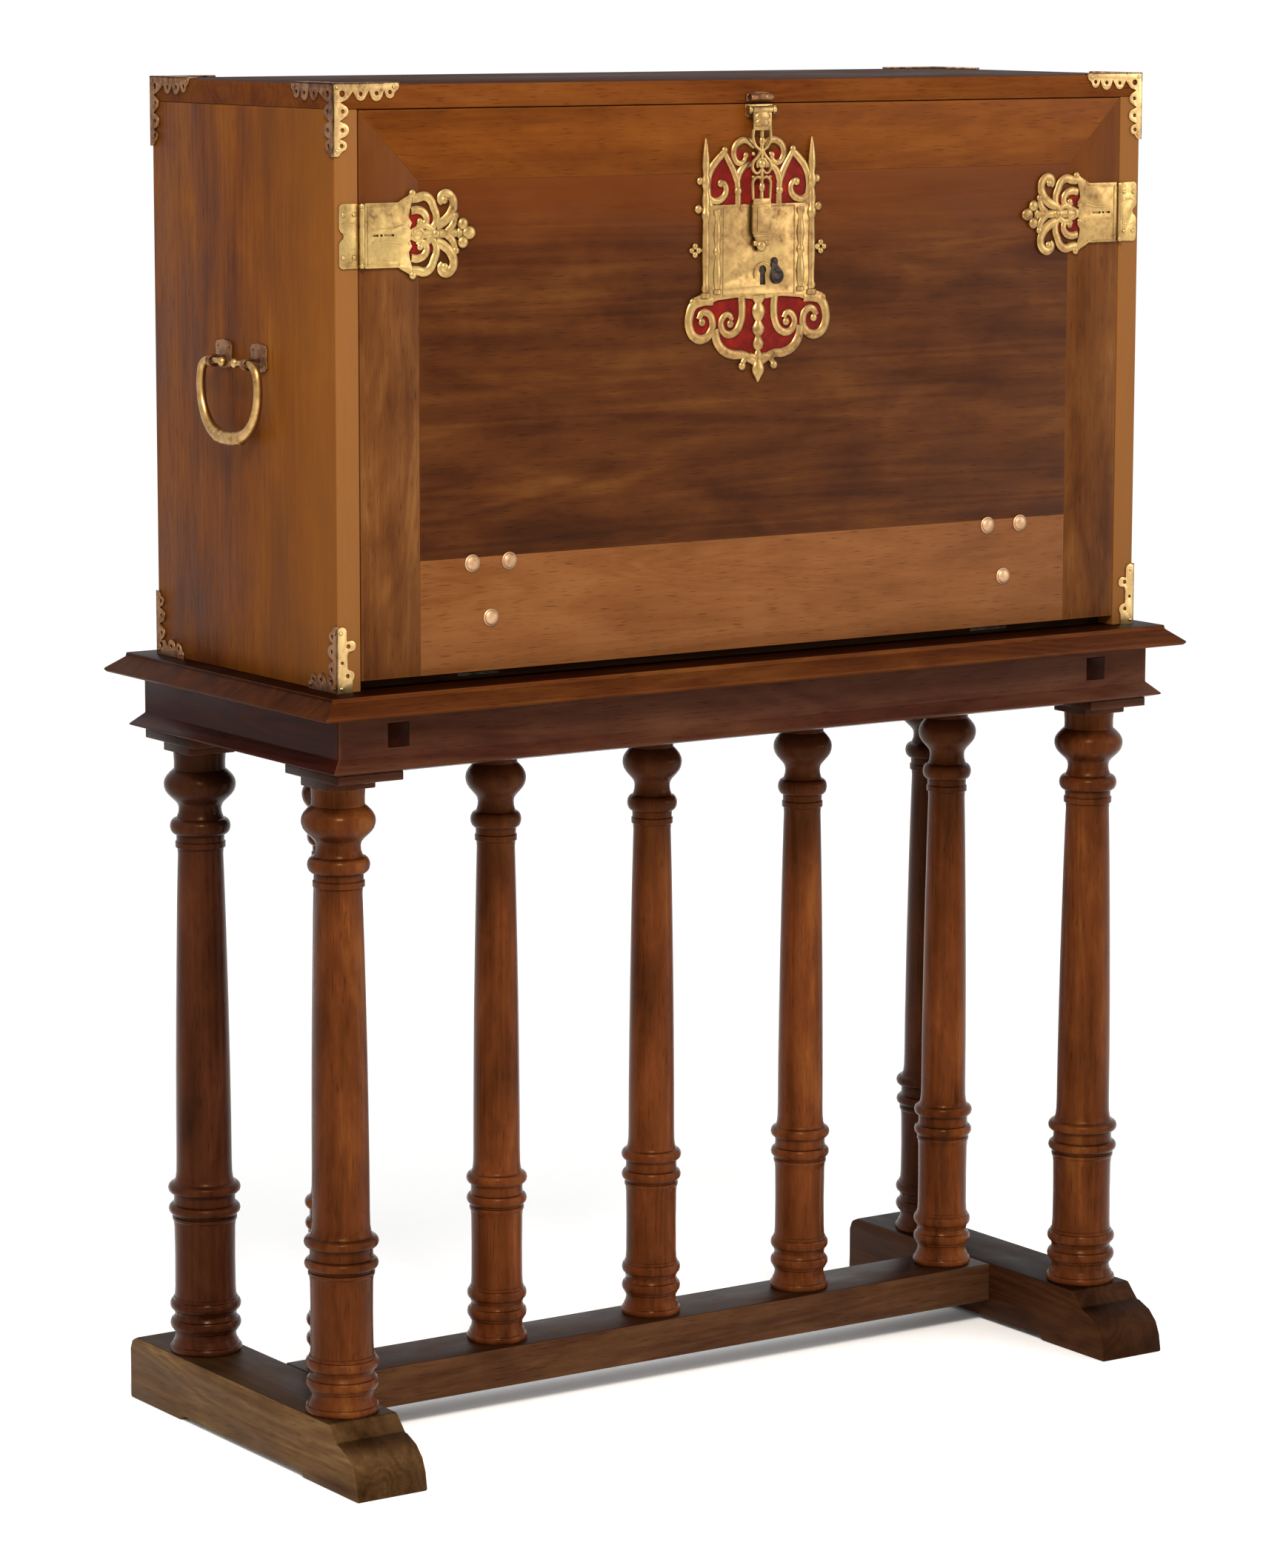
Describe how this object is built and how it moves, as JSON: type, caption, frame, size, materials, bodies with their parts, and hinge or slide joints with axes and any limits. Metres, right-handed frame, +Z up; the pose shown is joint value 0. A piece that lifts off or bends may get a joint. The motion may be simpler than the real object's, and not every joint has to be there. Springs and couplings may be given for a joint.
{
  "type": "fall-front writing chest on a bridge stand",
  "caption": "Fall-front writing chest with a pierced brass lock plate, side latches and drop handles, on a bridge stand of turned columns, sledge runners and a low stretcher.",
  "frame": {"origin": "on the floor under the middle of the stand", "axes": "+X to the right along the front, +Y to the back, +Z up"},
  "size_m": [1.148, 0.498, 1.48],
  "materials": {
    "walnut_boards": "waxed walnut, mid brown",
    "walnut_frame": "waxed walnut, mid brown",
    "walnut_light": "waxed, lighter orange brown",
    "walnut_panel": "waxed, dark red brown",
    "walnut_inner": "waxed walnut",
    "velvet_red": "red velvet",
    "stand_turned": "waxed, reddish brown",
    "stand_dark": "waxed, dark brown",
    "stand_base": "waxed, worn brown",
    "iron_fittings": "forged, dark",
    "brass_mounts": "gilt brass, softly polished"
  },
  "bodies": {
    "chest_and_stand": {"back_panel": "walnut_boards", "bottom_board": "walnut_boards", "column_back_left": "stand_turned", "column_back_right": "stand_turned", "column_caps": "stand_turned", "column_front_left": "stand_turned", "column_front_right": "stand_turned", "corner_mounts_back": "brass_mounts", "corner_mounts_front": "brass_mounts", "cross_bearer_left": "stand_dark", "cross_bearer_right": "stand_dark", "drawer_centre": "walnut_inner", "drawer_left_lower": "walnut_inner", "drawer_left_middle": "walnut_inner", "drawer_left_upper": "walnut_inner", "drawer_right_lower": "walnut_inner", "drawer_right_middle": "walnut_inner", "drawer_right_upper": "walnut_inner", "frieze_rail_back": "stand_dark", "frieze_rail_front": "stand_dark", "frieze_rail_left": "stand_dark", "frieze_rail_right": "stand_dark", "handle_ears_left": "brass_mounts", "handle_ears_right": "brass_mounts", "hasp_keeper": "brass_mounts", "hinge_leaves": "iron_fittings", "inner_dividers": "walnut_inner", "inner_shelves": "walnut_inner", "latch_keepers": "brass_mounts", "middle_bearer": "stand_dark", "niche_arch": "walnut_inner", "row_column_1": "stand_turned", "row_column_2": "stand_turned", "row_column_3": "stand_turned", "row_column_4": "stand_turned", "row_column_5": "stand_turned", "runner_left": "stand_base", "runner_right": "stand_base", "side_board_left": "walnut_boards", "side_board_right": "walnut_boards", "stand_top": "stand_dark", "stretcher": "stand_base", "top_board": "walnut_boards"},
    "flap": {"flap_panel": "walnut_panel", "flap_stile_left": "walnut_frame", "flap_stile_right": "walnut_frame", "flap_top_rail": "walnut_frame", "flap_bottom_rail": "walnut_light", "hinge_straps": "iron_fittings", "hinge_studs": "brass_mounts", "lock_plate": "brass_mounts", "lock_case": "iron_fittings", "velvet_backings": "velvet_red", "hasp_bracket": "brass_mounts", "latch_pins": "brass_mounts"},
    "hasp": {"hasp": "brass_mounts"},
    "latch_left": {"latch_left": "brass_mounts"},
    "latch_right": {"latch_right": "brass_mounts"},
    "bail_left": {"handle_bail_left": "brass_mounts"},
    "bail_right": {"handle_bail_right": "brass_mounts"}
  },
  "joints": [
    {"name": "flap_hinge", "type": "hinge", "parent": "chest_and_stand", "child": "flap", "pos_m": [0, -0.179, 0.8655], "axis": [1, 0, 0], "range_deg": [0, 90]},
    {"name": "hasp_hinge", "type": "hinge", "parent": "flap", "child": "hasp", "pos_m": [0, -0.1985, 1.446], "axis": [-1, 0, 0], "range_deg": [0, 120]},
    {"name": "latch_left_hinge", "type": "hinge", "parent": "flap", "child": "latch_left", "pos_m": [-0.5, -0.19495, 1.324], "axis": [0, 0, -1], "range_deg": [0, 100]},
    {"name": "latch_right_hinge", "type": "hinge", "parent": "flap", "child": "latch_right", "pos_m": [0.5, -0.19495, 1.324], "axis": [0, 0, 1], "range_deg": [0, 100]},
    {"name": "bail_left_hinge", "type": "hinge", "parent": "chest_and_stand", "child": "bail_left", "pos_m": [-0.547, 0, 1.184], "axis": [0, 1, 0], "range_deg": [0, 90]},
    {"name": "bail_right_hinge", "type": "hinge", "parent": "chest_and_stand", "child": "bail_right", "pos_m": [0.547, 0, 1.184], "axis": [0, -1, 0], "range_deg": [0, 90]}
  ]
}
